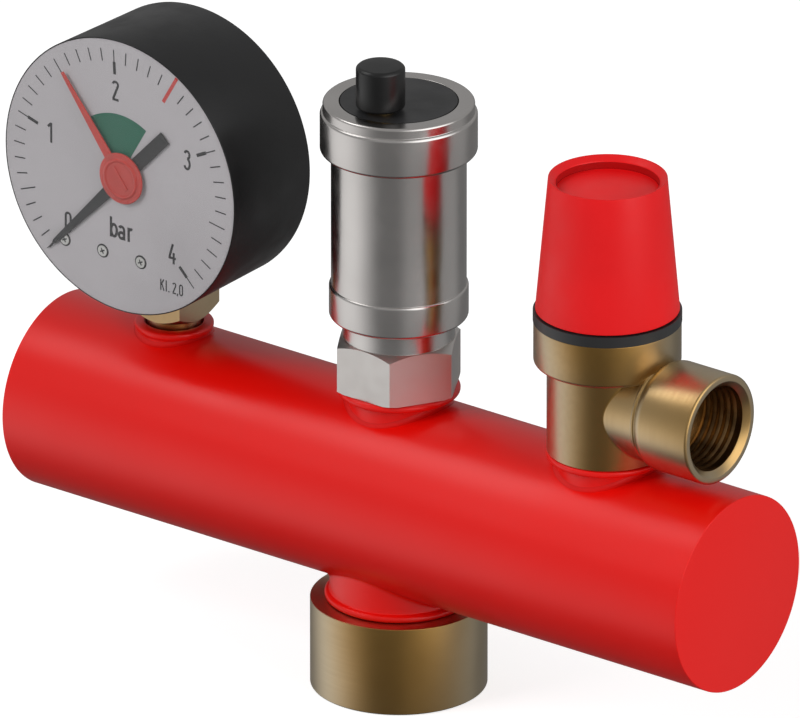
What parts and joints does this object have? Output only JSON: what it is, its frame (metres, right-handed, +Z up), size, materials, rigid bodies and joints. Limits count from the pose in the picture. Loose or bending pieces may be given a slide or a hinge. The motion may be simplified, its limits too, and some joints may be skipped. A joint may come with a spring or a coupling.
{
  "type": "boiler safety group",
  "caption": "Pipe manifold on a female muff that carries a pressure gauge, an automatic air vent and a diaphragm safety valve with side outlet.",
  "frame": {"origin": "centre of the boiler connection's mouth, on the muff's lower face", "axes": "+X along the pipe from the gauge to the safety valve, +Z up out of the boiler connection, the gauge's dial faces -Y"},
  "size_m": [0.1862, 0.044, 0.1468],
  "materials": {
    "pipe_red": "red powder coat, semi-gloss",
    "muff_brass": "turned, dull satin",
    "valve_brass": "pressed and turned, dull satin",
    "nickel": "nickel plated, satin",
    "case_black": "fine textured moulding",
    "trim_black": "smooth moulding",
    "window_clear": "clear moulding",
    "dial_white": "printed, satin",
    "pointer_black": "painted, satin",
    "set_pointer_red": "translucent moulding",
    "knob_red": "smooth moulding",
    "movement_brass": "stamped and milled",
    "tube_bronze": "drawn, soldered ends",
    "steel": "zinc plated",
    "spring_steel": "drawn wire",
    "seal_rubber": "moulded",
    "float_plastic": "moulded"
  },
  "bodies": {
    "group": {"manifold_tube": "pipe_red", "end_cap_left": "pipe_red", "end_cap_right": "pipe_red", "gauge_socket": "pipe_red", "vent_socket": "pipe_red", "valve_socket": "pipe_red", "base_neck": "pipe_red", "base_muff": "muff_brass", "gauge_case": "case_black", "case_screws": "steel", "gauge_window": "window_clear", "gauge_stem": "valve_brass", "bourdon_tube": "tube_bronze", "movement_back_plate": "movement_brass", "movement_front_plate": "movement_brass", "movement_pillars": "movement_brass", "movement_screws": "steel", "hairspring": "spring_steel", "gauge_dial": "dial_white", "dial_pillars": "movement_brass", "dial_screws": "steel", "shutoff_body": "nickel", "shutoff_plunger": "movement_brass", "shutoff_spring": "spring_steel", "shutoff_seal": "seal_rubber", "vent_body": "nickel", "vent_head": "nickel", "vent_head_seal": "seal_rubber", "vent_insert": "trim_black", "vent_nozzle": "movement_brass", "vent_lever_pin": "steel", "valve_body": "valve_brass", "valve_bonnet": "trim_black", "valve_diaphragm": "seal_rubber", "valve_spring": "spring_steel", "adjusting_screw": "movement_brass"},
    "valve_stem_group": {"valve_stem": "movement_brass", "valve_disc": "movement_brass", "valve_seat_seal": "seal_rubber", "spring_plate": "steel", "knob_screw": "steel"},
    "knob": {"valve_knob": "knob_red", "knob_plug": "knob_red"},
    "float": {"vent_float": "float_plastic"},
    "float_lever": {"vent_lever": "movement_brass"},
    "needle": {"vent_needle": "seal_rubber"},
    "cap_washer": {"vent_cap_washer": "seal_rubber"},
    "cap": {"vent_cap": "trim_black"},
    "sector": {"sector_gear": "movement_brass"},
    "arbor": {"pointer_arbor": "movement_brass", "gauge_pointer": "pointer_black"},
    "tube_tip": {"bourdon_tip": "movement_brass"},
    "link": {"tip_link": "steel"},
    "set_pointer": {"set_pointer": "set_pointer_red"}
  },
  "joints": [
    {"name": "stem_lift", "type": "slide", "parent": "group", "child": "valve_stem_group", "axis": [0, 0, 1], "range_m": [0, 0.0015], "stiffness_N_per_m": 3000, "springref_m": -0.003, "deforming": ["valve_spring", "valve_diaphragm"]},
    {"name": "knob_turn", "type": "hinge", "parent": "valve_stem_group", "child": "knob", "pos_m": [0.057, 0, 0.12], "axis": [0, 0, 1], "range_deg": [0, 45]},
    {"name": "float_rise", "type": "slide", "parent": "group", "child": "float", "axis": [0, 0, 1], "range_m": [0, 0.00339]},
    {"name": "float_lever_turn", "type": "hinge", "parent": "group", "child": "float_lever", "pos_m": [0, -0.0096, 0.1264], "axis": [1, 0, 0], "range_deg": [0, 20]},
    {"name": "needle_lift", "type": "slide", "parent": "group", "child": "needle", "axis": [0, 0, 1], "range_m": [0, 0.00111]},
    {"name": "cap_lift", "type": "slide", "parent": "group", "child": "cap_washer", "axis": [0, 0, 1], "range_m": [0, 0.0008]},
    {"name": "cap_turn", "type": "hinge", "parent": "cap_washer", "child": "cap", "pos_m": [0, -0.0064, 0.14], "axis": [0, 0, 1], "range_deg": [0, 360]},
    {"name": "sector_turn", "type": "hinge", "parent": "group", "child": "sector", "pos_m": [-0.061, -0.009, 0.0927], "axis": [0, -1, 0], "range_deg": [0, 34.25], "stiffness_Nm_per_rad": 0.004},
    {"name": "arbor_turn", "type": "hinge", "parent": "group", "child": "arbor", "pos_m": [-0.061, -0.018, 0.1089], "axis": [0, 1, 0], "range_deg": [0, 274]},
    {"name": "tube_tip_move", "type": "slide", "parent": "group", "child": "tube_tip", "axis": [0.7317, 0, 0.6816], "range_m": [0, 0.00209], "deforming": ["bourdon_tube"]},
    {"name": "link_turn", "type": "hinge", "parent": "sector", "child": "link", "pos_m": [-0.05574, -0.0096, 0.09109], "axis": [0, -1, 0], "range_deg": [-43.6, 0]},
    {"name": "set_pointer_turn", "type": "hinge", "parent": "group", "child": "set_pointer", "pos_m": [-0.061, -0.0196, 0.1089], "axis": [0, 1, 0], "range_deg": [-105, 175]}
  ],
  "couplings": [
    {"joint": "knob_turn", "follows": "stem_lift", "rad_per_m": 523.59},
    {"joint": "float_lever_turn", "follows": "float_rise", "rad_per_m": 103.09},
    {"joint": "needle_lift", "follows": "float_rise", "ratio": 0.3278},
    {"joint": "cap_turn", "follows": "cap_lift", "rad_per_m": 7853.9},
    {"joint": "arbor_turn", "follows": "tube_tip_move", "rad_per_m": 2288},
    {"joint": "sector_turn", "follows": "tube_tip_move", "rad_per_m": 286},
    {"joint": "link_turn", "follows": "tube_tip_move", "rad_per_m": -363.8}
  ]
}
